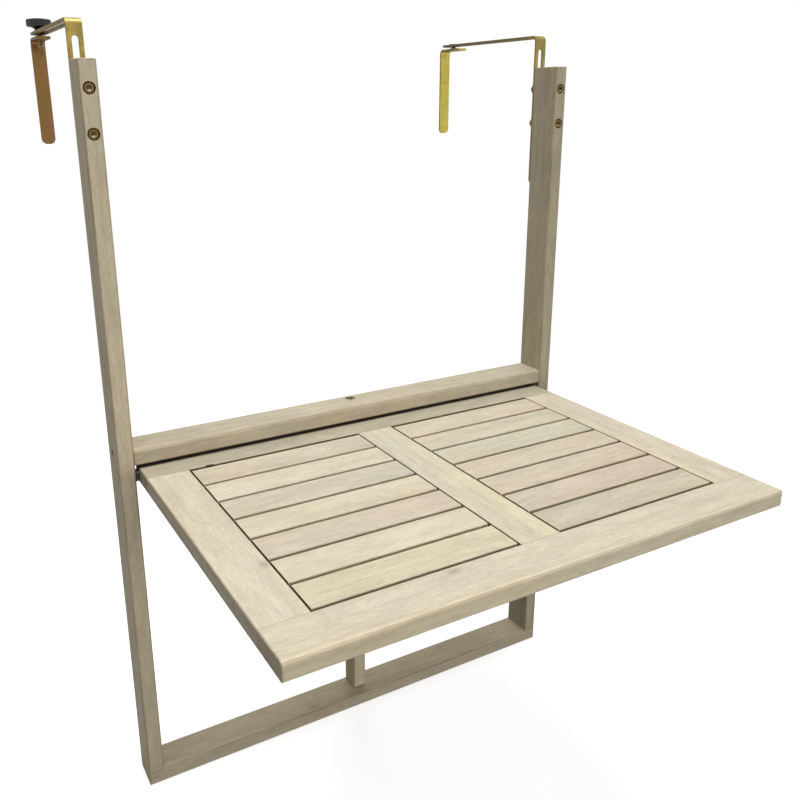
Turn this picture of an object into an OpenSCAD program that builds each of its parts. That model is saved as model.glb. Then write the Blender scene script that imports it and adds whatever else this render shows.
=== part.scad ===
// Balcony hanging table in whitewashed acacia. A slatted top sits between two uprights and rests on a
// bracket that swings under it. Two slotted steel hooks carry the frame on a balcony railing.
// The origin lies midway between the hooks, where their undersides meet the plane of the uprights' backs.
// +X runs to the right seen from the front, the top reaches out along -Y, and the railing stands at +Y.

/* [Timber] */
// Thickness of the planed stock
stock_t = 18; // [17:0.5:19]
// Depth of the frame stock, front to back
frame_d = 42; // [41:0.5:46]
// Radius of the eased edges
ease_r = 2; // [1:0.5:2.5]

/* [Frame] */
// Width over the uprights
frame_w = 600; // [580:5:700]
// Height from the foot to the top of the uprights
frame_h = 840; // [820:5:900]
// Height of the tabletop's upper face above the foot
top_rise = 418; // [416:1:430]
// Gap between the tabletop and the cross rail
rail_gap = 4; // [4:0.5:6]

/* [Tabletop] */
// Depth of the tabletop, rear edge to front edge
top_d = 401; // [380:1:401]
// Gap between the tabletop and each upright
side_gap = 4; // [3:0.5:6]
// Width of the front and rear rails of the tabletop
top_rail_w = 47; // [44:0.5:48]
// Width of the side stiles of the tabletop
stile_w = 46; // [40:0.5:50]
// Width of the middle rail of the tabletop
mullion_w = 45; // [40:0.5:50]
// Slats in each of the two panels
slat_count = 7; // [5:1:8]
// Gap between neighbouring slats
slat_gap = 4; // [2:0.5:5]
// Thickness of a slat
slat_t = 12; // [10:0.5:14]

/* [Swing bracket] */
// Depth of the bracket's post at its foot
post_d = 27; // [26:0.5:28]
// Reach of the bracket's arm from its pivot
arm_reach = 272; // [240:1:272]
// Height of the arm's section
arm_h = 36; // [30:1:40]
// Width of the diagonal brace
brace_w = 28; // [24:1:32]

/* [Hooks] */
// Width of the flat steel bar
bar_w = 16; // [16:0.5:18]
// Thickness of the flat steel bar
bar_t = 3; // [2.5:0.5:3.5]
// Height of the hook's underside above the uprights
hook_rise = 36; // [30:1:44]
// Length of the hook's upright leg behind the upright
hook_drop = 184; // [180:1:200]
// Length of the hook's level leg
hook_reach = 218; // [210:1:230]
// Depth of the jaw's lower end below the hook's level leg
jaw_drop = 124; // [100:1:130]
// Gap between the level leg and the jaw while the clamp is loose
jaw_gap = 3; // [2:0.5:5]
// Diameter of the clamp knob
knob_d = 28; // [26:0.5:30]

/* [Hidden] */
$fn = 48;

wash_light = [0.84, 0.80, 0.71];
wash_grey = [0.72, 0.68, 0.58];
zinc_gold = [0.74, 0.63, 0.34];
steel_grey = [0.70, 0.70, 0.72];
brass_yellow = [0.78, 0.65, 0.35];
knob_black = [0.12, 0.12, 0.13];
nylon_black = [0.13, 0.13, 0.13];
dowel_tan = [0.80, 0.66, 0.45];

// How far a cut runs past the face that it opens
past = 1;

// Levels
foot_z = -(frame_h + hook_rise);
frame_top_z = -hook_rise;
rail_top_z = foot_z + stock_t;
top_z = foot_z + top_rise;
top_under_z = top_z - stock_t;
cross_z = top_z + rail_gap;
cross_top_z = cross_z + stock_t;

// Frame
half_w = frame_w / 2;
inner_x = half_w - stock_t;
upright_x = half_w - stock_t / 2;
frame_mid_y = -frame_d / 2;
dowel_y = -frame_d * 0.79;
bar_x = upright_x;
cross_front_r = 3.5;

// Tabletop
top_half_w = inner_x - side_gap;
hinge_inset = 11.5;
hinge_y = -36.5;
hinge_z = top_z - stock_t / 2;
top_rear_y = hinge_y + hinge_inset;
top_front_y = top_rear_y - top_d;
panel_rear_y = top_rear_y - top_rail_w;
panel_front_y = top_front_y + top_rail_w;
panel_d = panel_rear_y - panel_front_y;
slat_w = (panel_d - (slat_count + 1) * slat_gap) / slat_count;
slat_pitch = slat_w + slat_gap;
slat_end_gap = 2;
tongue_l = 8;
tongue_t = 5;
tongue_drop = 4;
groove_d = 8.5;
tenon_l = 22;
tenon_w = 26;
tenon_t = 6;
tenon_gap = 0.1;
top_front_r = 3;
top_side_r = 1.5;
top_corner_r = 2;
slat_ease_r = 1.5;
tongue_shoulder = 3;

// Hinge of the tabletop
pin_r = 2.5;
pin_press_gap = 0.02;
pin_run_gap = 0.05;
pin_in_top = 25;
pin_in_upright = 12;
pin_end_gap = 1;
spacer_r = 7;
spacer_play = 0.2;

// Screws and bolts of the six millimetre size
m6_r = 3;
m6_bore_r = 3.1;
m6_run_r = 3.05;
head_r = 5.5;
head_t = 4;
head_sink = 0.6;
sink_r = 6.1;
sink_d = 4.6;
socket_af = 5;
socket_d = 2.8;
head_chamfer = 1.2;
bolt_stick_out = 3;
nut_af = 10;
nut_t = 5;
washer_r = 6;
washer_t = 1.6;
frame_bolt_l = 46;
bolt_end_gap = 1;
dowel_r = 4;
dowel_l = 30;
dowel_in_plate = 12;
dowel_gap = 0.05;

// Swing bracket
pivot_y = -10;
post_half = stock_t / 2;
post_rear_y = pivot_y + post_half;
post_front_y = post_rear_y - post_d;
washer_gap_low = 1.5;
washer_gap_high = 1;
post_foot_z = rail_top_z + washer_gap_low;
post_head_z = cross_z - washer_gap_high;
neck_d = 18;
neck_drop = 6;
neck_z = top_under_z - neck_drop;
arm_gap = 0.5;
arm_top_z = top_under_z - arm_gap;
arm_end_y = pivot_y - arm_reach;
arm_step = 6;
arm_step_l = 24;
arm_nose = 18;
arm_tenon_l = 14;
arm_tenon_t = 7;
arm_tenon_shoulder = 5;
brace_start = 135;
brace_foot_z = foot_z + brace_start;
brace_screw_spots = [0.3, 0.7];
insert_r = 4.6;
insert_l = 13;
insert_gap = 0.05;
pivot_bolt_bite = 12;
screw_r = 2;
screw_head_r = 4;
screw_l = 48;
screw_bore_r = 2.05;
screw_point = 6;
screw_rim = 0.2;
screw_sunk = 0.2;
screw_seat_gap = 0.1;

// Hooks
bend_r = 4;
bar_slot_w = 6.6;
bar_end_r = 6.5;
drop_slot_top = 13.5;
drop_slot_end = 12;
reach_slot_start = 24;
reach_slot_end = 14;
hook_bolt_drops = [26.7, 69.2];
hook_bolt_l = frame_d + bar_t + washer_t + nut_t + bolt_stick_out - head_sink;

// Jaws and their clamps
jaw_leg_l = 47;
jaw_front_r = 3;
jaw_face_y = hook_reach;
clamp_y = hook_reach - 21;
clamp_washer_r = 6.5;
clamp_washer_t = 1;
stud_low_end = 8;
stud_in_knob = 10;
stud_chamfer = 0.6;
flat_head_r = 6.5;
flat_head_t = 1;
flat_head_chamfer = 0.3;
flat_socket_af = 4;
flat_socket_d = 2.6;
press_nut_r = 4.5;
knob_neck_r = 5.2;
knob_neck_h = 0.8;
knob_flare_h = 3.6;
knob_rim_h = 7.5;
knob_dome_h = 1.6;
knob_bore_top = 11;
knob_edge = 0.8;
knob_flutes = 10;
flute_r = 2.6;
flute_bite = 1.1;

// Rectangle from its lower left corner whose marked corners are true arcs, counted from that corner round
module eased_rect(w, h, r, soft = [true, true, true, true]) {
    spots = [[r, r], [w - r, r], [w - r, h - r], [r, h - r]];
    translate([r, 0]) square([w - 2 * r, h]);
    translate([0, r]) square([w, h - 2 * r]);
    for (i = [0:3])
        translate(spots[i])
            if (soft[i]) circle(r);
            else square(2 * r, center = true);
}

// Bar along X between two corners, with its long edges eased: rear edges are at the high Y side
module bar_along_x(low, high, r, soft = [true, true, true, true]) {
    size = high - low;
    translate(low)
        rotate([90, 0, 90])
            linear_extrude(size.x)
                eased_rect(size.y, size.z, r, soft);
}

// Bar along Y between two corners, with its long edges eased
module bar_along_y(low, high, r, soft = [true, true, true, true]) {
    size = high - low;
    translate([low.x, high.y, low.z])
        rotate([90, 0, 0])
            linear_extrude(size.y)
                eased_rect(size.x, size.z, r, soft);
}

// Bar along Z between two corners, with its long edges eased
module bar_along_z(low, high, r, soft = [true, true, true, true]) {
    size = high - low;
    translate(low)
        linear_extrude(size.z)
            eased_rect(size.x, size.y, r, soft);
}

// Plain block between two corners
module block(low, high) {
    translate(low) cube(high - low);
}

// Children turned so that their own +Z points along +X, -X, +Y or -Y
module facing_right() {
    rotate([0, 90, 0]) children();
}
module facing_left() {
    rotate([0, -90, 0]) children();
}
module facing_back() {
    rotate([-90, 0, 0]) children();
}
module facing_front() {
    rotate([90, 0, 0]) children();
}

// Bolt with a low round head and a hexagon socket: the head stands on z = 0 and the shank hangs below it
module socket_bolt(shank_l) {
    difference() {
        union() {
            rotate_extrude()
                polygon([
                    [0, 0],
                    [head_r, 0],
                    [head_r, head_t - head_chamfer],
                    [head_r - head_chamfer, head_t],
                    [0, head_t]
                ]);
            translate([0, 0, -shank_l]) cylinder(r = m6_r, h = shank_l + head_t / 4);
        }
        translate([0, 0, head_t - socket_d])
            cylinder(d = socket_af / cos(30), h = socket_d + past, $fn = 6);
    }
}

// Hole for a socket bolt, whose mouth is on z = 0 and which runs down to the given depth
module bolt_hole(depth, r) {
    translate([0, 0, -sink_d]) cylinder(r = sink_r, h = sink_d + past);
    translate([0, 0, -depth]) cylinder(r = r, h = depth);
}

// Washer standing on z = 0
module washer(outer_r, inner_r, t) {
    difference() {
        cylinder(r = outer_r, h = t);
        translate([0, 0, -past]) cylinder(r = inner_r, h = t + 2 * past);
    }
}

// Hexagon nut standing on z = 0
module hexagon_nut() {
    difference() {
        cylinder(d = nut_af / cos(30), h = nut_t, $fn = 6);
        translate([0, 0, -past]) cylinder(r = m6_run_r, h = nut_t + 2 * past);
    }
}

// Cuts for the two hook bolts, the cross rail's bolt and dowel, the hinge pin and the foot's bolt and dowel
module upright_cuts() {
    for (drop = hook_bolt_drops)
        translate([upright_x, -frame_d, frame_top_z - drop])
            facing_front() bolt_hole(frame_d + past, m6_bore_r);
    translate([half_w, frame_mid_y, cross_z + stock_t / 2])
        facing_right() bolt_hole(stock_t + past, m6_bore_r);
    translate([inner_x - past, dowel_y, cross_z + stock_t / 2])
        facing_right() cylinder(r = dowel_r + dowel_gap, h = dowel_in_plate + past);
    translate([inner_x - past, hinge_y, hinge_z])
        facing_right() cylinder(r = pin_r + pin_run_gap, h = past + pin_in_upright + pin_end_gap);
    translate([upright_x, frame_mid_y, rail_top_z - past])
        cylinder(r = m6_bore_r, h = past + frame_bolt_l - stock_t + bolt_end_gap);
    translate([upright_x, dowel_y, rail_top_z - past])
        cylinder(r = dowel_r + dowel_gap, h = past + dowel_l - dowel_in_plate);
}

// Right-hand upright: it stands on the bottom rail, and only its free top end is eased
module right_upright() {
    low = [inner_x, -frame_d, rail_top_z];
    high = [half_w, 0, frame_top_z];
    top_corners = [false, false, true, true];
    color(wash_grey)
        difference() {
            intersection() {
                bar_along_z(low, high, ease_r);
                bar_along_y(low, high, ease_r, top_corners);
                bar_along_x(low, high, ease_r, top_corners);
            }
            upright_cuts();
        }
}

module left_upright() {
    mirror([1, 0, 0]) right_upright();
}

// Bottom rail laid flat under both uprights
module bottom_rail() {
    low = [-half_w, -frame_d, foot_z];
    high = [half_w, 0, rail_top_z];
    color(wash_grey)
        difference() {
            intersection() {
                bar_along_x(low, high, ease_r);
                bar_along_z(low, high, ease_r);
            }
            for (side = [-1, 1]) {
                translate([side * upright_x, frame_mid_y, foot_z])
                    mirror([0, 0, 1]) bolt_hole(stock_t + past, m6_bore_r);
                translate([side * upright_x, dowel_y, rail_top_z - dowel_in_plate])
                    cylinder(r = dowel_r + dowel_gap, h = dowel_in_plate + past);
            }
            translate([0, pivot_y, foot_z])
                mirror([0, 0, 1]) bolt_hole(stock_t + past, m6_run_r);
        }
}

// Cross rail fitted between the uprights just above the tabletop, its top front edge more softly rounded
module cross_rail() {
    low = [-inner_x, -frame_d, cross_z];
    high = [inner_x, 0, cross_top_z];
    bolt_bore_l = frame_bolt_l - stock_t + bolt_end_gap;
    dowel_bore_l = dowel_l - dowel_in_plate;
    color(wash_light)
        difference() {
            intersection() {
                bar_along_x(low, high, ease_r);
                bar_along_x(low, high, cross_front_r, [false, false, false, true]);
            }
            for (side = [-1, 1]) {
                translate([side * inner_x, frame_mid_y, cross_z + stock_t / 2])
                    facing_right() cylinder(r = m6_bore_r, h = 2 * bolt_bore_l, center = true);
                translate([side * inner_x, dowel_y, cross_z + stock_t / 2])
                    facing_right() cylinder(r = dowel_r + dowel_gap, h = 2 * dowel_bore_l, center = true);
            }
            translate([0, pivot_y, cross_top_z]) bolt_hole(stock_t + past, m6_run_r);
        }
}

// Bolts that hold the cross rail from the sides and the uprights from below
module frame_bolts() {
    seat = head_t + head_sink;
    color(zinc_gold) {
        translate([half_w - seat, frame_mid_y, cross_z + stock_t / 2])
            facing_right() socket_bolt(frame_bolt_l - seat);
        translate([-half_w + seat, frame_mid_y, cross_z + stock_t / 2])
            facing_left() socket_bolt(frame_bolt_l - seat);
        for (side = [-1, 1])
            translate([side * upright_x, frame_mid_y, foot_z + seat])
                mirror([0, 0, 1]) socket_bolt(frame_bolt_l - seat);
    }
}

// Beech dowels that stop each bolted joint from turning
module frame_dowels() {
    color(dowel_tan)
        for (side = [-1, 1]) {
            translate([side * (inner_x + dowel_in_plate - dowel_l / 2), dowel_y, cross_z + stock_t / 2])
                facing_right() cylinder(r = dowel_r, h = dowel_l, center = true);
            translate([side * upright_x, dowel_y, rail_top_z - dowel_in_plate])
                cylinder(r = dowel_r, h = dowel_l);
        }
}

// Whole tabletop before the panels are cut out: eased softly along its front and lightly at its sides
module top_envelope() {
    low = [-top_half_w, top_front_y, top_under_z];
    high = [top_half_w, top_rear_y, top_z];
    intersection() {
        bar_along_x(low, high, top_front_r);
        bar_along_y(low, high, top_side_r);
        bar_along_z(low, high, top_corner_r);
    }
}

// Tenons of the stiles and the mullion, which run into both rails, larger by the given gap
module top_tenons(gap) {
    centres = [-top_half_w + stile_w / 2, 0, top_half_w - stile_w / 2];
    for (x = centres)
        translate([x, 0, hinge_z])
            for (y = [panel_rear_y, panel_front_y])
                translate([0, y, 0])
                    cube([tenon_w + gap, 2 * (tenon_l + gap), tenon_t + gap], center = true);
}

// Bore for a hinge pin, blind in the end of the rear rail
module hinge_pin_bore() {
    translate([top_half_w - pin_in_top, hinge_y, hinge_z])
        facing_right() cylinder(r = pin_r + pin_press_gap, h = pin_in_top + past);
}

// Rail across the tabletop, mortised for the stiles and the mullion
module top_rail(low_y) {
    difference() {
        intersection() {
            block([-top_half_w, low_y, top_under_z], [top_half_w, low_y + top_rail_w, top_z]);
            top_envelope();
        }
        top_tenons(tenon_gap);
    }
}

module top_front_rail() {
    color(wash_light) top_rail(top_front_y);
}

module top_rear_rail() {
    color(wash_light)
        difference() {
            top_rail(panel_rear_y);
            hinge_pin_bore();
            mirror([1, 0, 0]) hinge_pin_bore();
        }
}

// Groove for the slats' tongues, cut into an edge that faces the given way
module slat_groove(edge_x, side) {
    groove_z = top_z - tongue_drop - tongue_t;
    mid_x = edge_x - side * (groove_d - past) / 2;
    reach = (groove_d + past) / 2;
    block(
        [mid_x - reach, panel_front_y, groove_z],
        [mid_x + reach, panel_rear_y, groove_z + tongue_t]
    );
}

// Upright members of the tabletop: tenons at both ends, a groove on each edge that faces slats
module top_right_stile() {
    inner_edge = top_half_w - stile_w;
    color(wash_light)
        difference() {
            union() {
                intersection() {
                    block([inner_edge, panel_front_y, top_under_z], [top_half_w, panel_rear_y, top_z]);
                    top_envelope();
                }
                intersection() {
                    top_tenons(0);
                    block([inner_edge, top_front_y, top_under_z], [top_half_w, top_rear_y, top_z]);
                }
            }
            slat_groove(inner_edge, -1);
        }
}

module top_left_stile() {
    mirror([1, 0, 0]) top_right_stile();
}

module top_mullion() {
    color(wash_light)
        difference() {
            union() {
                block([-mullion_w / 2, panel_front_y, top_under_z], [mullion_w / 2, panel_rear_y, top_z]);
                intersection() {
                    top_tenons(0);
                    block([-mullion_w / 2, top_front_y, top_under_z], [mullion_w / 2, top_rear_y, top_z]);
                }
            }
            slat_groove(mullion_w / 2, 1);
            slat_groove(-mullion_w / 2, -1);
        }
}

// One slat of the right-hand panel, counted from the rear, with a tongue at each end
module right_slat(i) {
    rear_y = panel_rear_y - slat_gap - (i - 1) * slat_pitch;
    start_x = mullion_w / 2;
    end_x = top_half_w - stile_w;
    tongue_z = top_z - tongue_drop - tongue_t;
    color(wash_light) {
        bar_along_x(
            [start_x + slat_end_gap, rear_y - slat_w, top_z - slat_t],
            [end_x - slat_end_gap, rear_y, top_z],
            slat_ease_r
        );
        block(
            [start_x - tongue_l, rear_y - slat_w + tongue_shoulder, tongue_z],
            [end_x + tongue_l, rear_y - tongue_shoulder, tongue_z + tongue_t]
        );
    }
}

module left_slat(i) {
    mirror([1, 0, 0]) right_slat(i);
}

// Steel pins on which the tabletop turns in the uprights
module hinge_pins() {
    pin_l = pin_in_top + side_gap + pin_in_upright;
    color(steel_grey)
        for (side = [-1, 1])
            translate([side * (top_half_w - pin_in_top + pin_l / 2), hinge_y, hinge_z])
                facing_right() cylinder(r = pin_r, h = pin_l, center = true);
}

// Nylon spacers on the hinge pins, which keep the tabletop clear of the uprights
module hinge_spacers() {
    color(nylon_black)
        for (side = [-1, 1])
            translate([side * (inner_x - side_gap / 2), hinge_y, hinge_z])
                facing_right()
                    translate([0, 0, -(side_gap - 2 * spacer_play) / 2])
                        washer(spacer_r, pin_r + pin_run_gap, side_gap - 2 * spacer_play);
}

// Places its children on both pivot bolts: upright at the foot, upside down at the head
module at_post_ends() {
    translate([0, pivot_y, post_foot_z]) children();
    translate([0, pivot_y, post_head_z]) mirror([0, 0, 1]) children();
}

// Post of the swing bracket. Its head is cut back so that the tabletop's rear edge can swing past it
module bracket_post() {
    color(wash_grey)
        difference() {
            bar_along_z(
                [-post_half, post_front_y, post_foot_z],
                [post_half, post_rear_y, post_head_z],
                ease_r
            );
            block(
                [-post_half - past, post_front_y - past, neck_z],
                [post_half + past, post_rear_y - neck_d, post_head_z + past]
            );
            at_post_ends()
                translate([0, 0, -past])
                    cylinder(r = insert_r + insert_gap, h = past + insert_l + bolt_end_gap);
            arm_tenon(tenon_gap);
            bracket_screw_bores();
        }
}

// Tenon of the arm in the post, larger by the given gap
module arm_tenon(gap) {
    tenon_h = arm_h - arm_step - 2 * arm_tenon_shoulder;
    mid_z = arm_top_z - arm_step - (arm_h - arm_step) / 2;
    translate([0, post_front_y + (arm_tenon_l + gap) / 2, mid_z])
        cube([arm_tenon_t + gap, arm_tenon_l + gap, tenon_h + gap], center = true);
}

// Arm under the tabletop: lowered next to the post, with a sloping nose under its free end
module bracket_arm() {
    low_z = arm_top_z - arm_h;
    step_y = post_front_y - arm_step_l;
    low = [-post_half, arm_end_y, low_z];
    high = [post_half, post_front_y, arm_top_z];
    color(wash_grey)
        difference() {
            union() {
                intersection() {
                    bar_along_y(low, high, ease_r);
                    translate([-post_half, 0, 0])
                        rotate([90, 0, 90])
                            linear_extrude(stock_t)
                                polygon([
                                    [post_front_y, low_z],
                                    [post_front_y, arm_top_z - arm_step],
                                    [step_y, arm_top_z - arm_step],
                                    [step_y - arm_step, arm_top_z],
                                    [arm_end_y, arm_top_z],
                                    [arm_end_y, low_z + arm_nose],
                                    [arm_end_y + arm_nose, low_z]
                                ]);
                }
                arm_tenon(0);
            }
            bracket_screw_bores();
        }
}

// Diagonal brace at 45 degrees, cut square to the post's front and the arm's underside
module bracket_brace() {
    arm_low_z = arm_top_z - arm_h;
    brace_l = 1.5 * (arm_low_z - brace_foot_z);
    color(wash_grey)
        difference() {
            intersection() {
                translate([0, post_front_y, brace_foot_z])
                    rotate([-45, 0, 0])
                        bar_along_y([-post_half, -brace_l, 0], [post_half, brace_l, brace_w], ease_r);
                block(
                    [-post_half - past, arm_end_y, brace_foot_z - past],
                    [post_half + past, post_front_y, arm_low_z]
                );
            }
            bracket_screw_bores();
        }
}

// Places its children on the four screws of the brace, each entering along its own -Z from z = 0
module at_bracket_screws() {
    brace_rise = brace_w * sqrt(2);
    arm_low_z = arm_top_z - arm_h;
    brace_head_y = post_front_y - (arm_low_z - brace_foot_z);
    for (t = brace_screw_spots) {
        translate([0, post_rear_y, brace_foot_z + t * brace_rise])
            facing_back() children();
        translate([0, brace_head_y + t * brace_rise, arm_top_z])
            children();
    }
}

module bracket_screw_bores() {
    at_bracket_screws() {
        seat_d = screw_head_r + screw_sunk + screw_seat_gap;
        translate([0, 0, -seat_d]) cylinder(r1 = 0, r2 = seat_d + past, h = seat_d + past);
        translate([0, 0, -screw_l - screw_point]) cylinder(r = screw_bore_r, h = screw_l + screw_point);
    }
}

// Countersunk wood screws that hold the brace
module bracket_screws() {
    color(zinc_gold)
        at_bracket_screws()
            translate([0, 0, -screw_sunk])
                rotate_extrude()
                    polygon([
                        [0, -screw_l],
                        [screw_r, -screw_l + screw_point],
                        [screw_r, -screw_head_r + screw_r],
                        [screw_head_r - screw_rim, -screw_rim],
                        [screw_head_r - screw_rim, 0],
                        [0, 0]
                    ]);
}

// Pivot bolts through the cross rail and the bottom rail, screwed into the post
module bracket_pivot_bolts() {
    seat = head_t + head_sink;
    color(zinc_gold) {
        translate([0, pivot_y, cross_top_z - seat])
            socket_bolt(stock_t - seat + washer_gap_high + pivot_bolt_bite);
        translate([0, pivot_y, foot_z + seat])
            mirror([0, 0, 1]) socket_bolt(stock_t - seat + washer_gap_low + pivot_bolt_bite);
    }
}

// Brass inserts in the post's two ends, into which the pivot bolts are screwed
module bracket_inserts() {
    color(brass_yellow)
        at_post_ends() washer(insert_r, m6_run_r, insert_l);
}

// Thrust washers at the post's foot and head
module bracket_washers() {
    color(steel_grey) {
        translate([0, pivot_y, rail_top_z]) washer(post_half - 1, m6_bore_r, washer_gap_low);
        translate([0, pivot_y, post_head_z]) washer(post_half - 1, m6_bore_r, washer_gap_high);
    }
}

// Flat bar end seen flat on: from x = 0 along +X, with the two far corners rounded
module bar_outline(l, end_r) {
    translate([0, -bar_w / 2]) eased_rect(l, bar_w, end_r, [false, true, true, false]);
}

// Long slot with round ends between two distances along +X
module slot_outline(start, end) {
    r = bar_slot_w / 2;
    translate([start + r, -r]) square([end - start - 2 * r, bar_slot_w]);
    for (x = [start + r, end - r]) translate([x, 0]) circle(r);
}

// Quarter bend of the flat bar about the X axis: from straight back to straight down
module bar_bend() {
    outer = bend_r + bar_t;
    translate([bar_w / 2, 0, 0])
        rotate([0, -90, 0])
            linear_extrude(bar_w)
                intersection() {
                    difference() {
                        circle(outer);
                        circle(bend_r);
                    }
                    translate([0, -outer]) square(outer);
                }
}

// Slotted hook: one leg behind the upright, one level leg over the railing
module right_hook() {
    corner = bend_r + bar_t;
    level_z = bar_t;
    color(zinc_gold)
        translate([bar_x, 0, 0]) {
            translate([0, corner, level_z - corner]) bar_bend();
            translate([0, corner, 0])
                rotate([0, 0, 90])
                    linear_extrude(bar_t)
                        difference() {
                            bar_outline(hook_reach - corner, bar_end_r);
                            slot_outline(reach_slot_start - corner, hook_reach - reach_slot_end - corner);
                        }
            translate([0, bar_t, level_z - corner])
                rotate([90, 90, 0])
                    linear_extrude(bar_t)
                        difference() {
                            bar_outline(hook_drop + level_z - corner, bar_end_r);
                            slot_outline(
                                drop_slot_top + level_z - corner,
                                hook_drop - drop_slot_end + level_z - corner
                            );
                        }
        }
}

module left_hook() {
    mirror([1, 0, 0]) right_hook();
}

// Places its children on the four hook bolts, facing back from the plane of the uprights' backs
module at_hook_bolts() {
    for (side = [-1, 1], drop = hook_bolt_drops)
        translate([side * upright_x, 0, frame_top_z - drop])
            facing_back() children();
}

// Bolts through the uprights and the hooks' slots, with their heads sunk in the uprights' fronts
module hook_bolts() {
    seat = frame_d - head_t - head_sink;
    color(zinc_gold)
        at_hook_bolts()
            translate([0, 0, -seat]) mirror([0, 0, 1]) socket_bolt(hook_bolt_l - head_t);
}

module hook_washers() {
    color(zinc_gold)
        at_hook_bolts() translate([0, 0, bar_t]) washer(washer_r, m6_bore_r, washer_t);
}

module hook_nuts() {
    color(zinc_gold)
        at_hook_bolts()
            translate([0, 0, bar_t + washer_t])
                hexagon_nut();
}

// Jaw that hangs below the hook's level leg: it slides along the slot and grips the railing's far side
module jaw(hole_r) {
    corner = bend_r + bar_t;
    back_y = jaw_face_y + bar_t;
    color(zinc_gold)
        translate([bar_x, 0, -jaw_gap])
            difference() {
                union() {
                    translate([0, back_y - corner, -corner])
                        mirror([0, 1, 0]) bar_bend();
                    translate([0, back_y - corner, -bar_t])
                        rotate([0, 0, -90])
                            linear_extrude(bar_t) bar_outline(jaw_leg_l - corner, jaw_front_r);
                    translate([0, back_y, -corner])
                        rotate([90, 90, 0])
                            linear_extrude(bar_t)
                                bar_outline(jaw_drop - jaw_gap - corner, bar_end_r);
                }
                translate([0, clamp_y, -bar_t - past])
                    cylinder(r = hole_r, h = bar_t + 2 * past);
            }
}

// Left-hand jaw, threaded for the knob's stud
module left_jaw() {
    mirror([1, 0, 0]) jaw(m6_run_r);
}

// Right-hand jaw, bored for a nut pressed in flush
module right_jaw() {
    jaw(press_nut_r + insert_gap);
}

// Stud of the left clamp: moulded into the knob, it passes the slot and the jaw and ends below the jaw
module left_clamp_bolt() {
    low_z = -jaw_gap - bar_t - stud_low_end;
    high_z = bar_t + clamp_washer_t + stud_in_knob;
    color(zinc_gold)
        translate([-bar_x, clamp_y, 0])
            rotate_extrude()
                polygon([
                    [0, low_z],
                    [m6_r - stud_chamfer, low_z],
                    [m6_r, low_z + stud_chamfer],
                    [m6_r, high_z],
                    [0, high_z]
                ]);
}

// Screw of the right clamp: thin flat head with a hexagon socket on the hook, shank down into the jaw
module right_clamp_bolt() {
    shank_l = bar_t + jaw_gap + bar_t;
    edge_r = flat_head_r - flat_head_chamfer;
    color(zinc_gold)
        translate([bar_x, clamp_y, bar_t])
            difference() {
                rotate_extrude()
                    polygon([
                        [0, -shank_l],
                        [m6_r, -shank_l],
                        [m6_r, 0],
                        [flat_head_r, 0],
                        [flat_head_r, flat_head_t - flat_head_chamfer],
                        [edge_r, flat_head_t],
                        [0, flat_head_t]
                    ]);
                translate([0, 0, flat_head_t - flat_socket_d])
                    cylinder(d = flat_socket_af / cos(30), h = flat_socket_d + past, $fn = 6);
            }
}

// Washer of each clamp: over the slot under the knob on the left, on the jaw's level leg on the right
module left_clamp_washer() {
    color(zinc_gold)
        translate([-bar_x, clamp_y, bar_t]) washer(clamp_washer_r, m6_bore_r, clamp_washer_t);
}

module right_clamp_washer() {
    color(zinc_gold)
        translate([bar_x, clamp_y, -jaw_gap]) washer(washer_r, m6_bore_r, clamp_washer_t);
}

// Nut pressed flush into the right jaw
module right_clamp_nut() {
    color(zinc_gold)
        translate([bar_x, clamp_y, -jaw_gap - bar_t]) washer(press_nut_r, m6_run_r, bar_t);
}

// Moulded knob: a flared neck, a fluted rim and a slightly domed top, with a blind bore for its stud
module left_knob() {
    rim_r = knob_d / 2;
    flare_z = knob_neck_h + knob_flare_h;
    rim_z = flare_z + knob_rim_h;
    flare = [for (a = [0:15:90])
        [rim_r - (rim_r - knob_neck_r) * cos(a), knob_neck_h + knob_flare_h * sin(a)]];
    color(knob_black)
        translate([-bar_x, clamp_y, bar_t + clamp_washer_t])
            difference() {
                rotate_extrude()
                    polygon(concat(
                        [[0, 0], [knob_neck_r, 0]],
                        flare,
                        [[rim_r, rim_z - knob_edge], [rim_r - knob_edge, rim_z]],
                        [[rim_r * 0.5, rim_z + knob_dome_h * 0.75], [0, rim_z + knob_dome_h]]
                    ));
                translate([0, 0, -past])
                    cylinder(r = m6_r + pin_press_gap, h = knob_bore_top + past);
                for (i = [0:knob_flutes - 1])
                    rotate([0, 0, i * 360 / knob_flutes])
                        translate([rim_r + flute_r - flute_bite, 0, 0])
                            cylinder(r = flute_r, h = rim_z + knob_dome_h);
            }
}

left_upright();
right_upright();
bottom_rail();
cross_rail();
frame_bolts();
frame_dowels();
top_front_rail();
top_rear_rail();
top_left_stile();
top_right_stile();
top_mullion();
for (i = [1:slat_count]) {
    left_slat(i);
    right_slat(i);
}
hinge_pins();
hinge_spacers();
bracket_post();
bracket_arm();
bracket_brace();
bracket_pivot_bolts();
bracket_inserts();
bracket_washers();
bracket_screws();
left_hook();
right_hook();
hook_bolts();
hook_washers();
hook_nuts();
left_jaw();
right_jaw();
left_clamp_bolt();
right_clamp_bolt();
left_clamp_washer();
right_clamp_washer();
left_knob();
right_clamp_nut();
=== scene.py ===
import math

import bmesh
import bpy
from mathutils import Matrix, Vector


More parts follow.
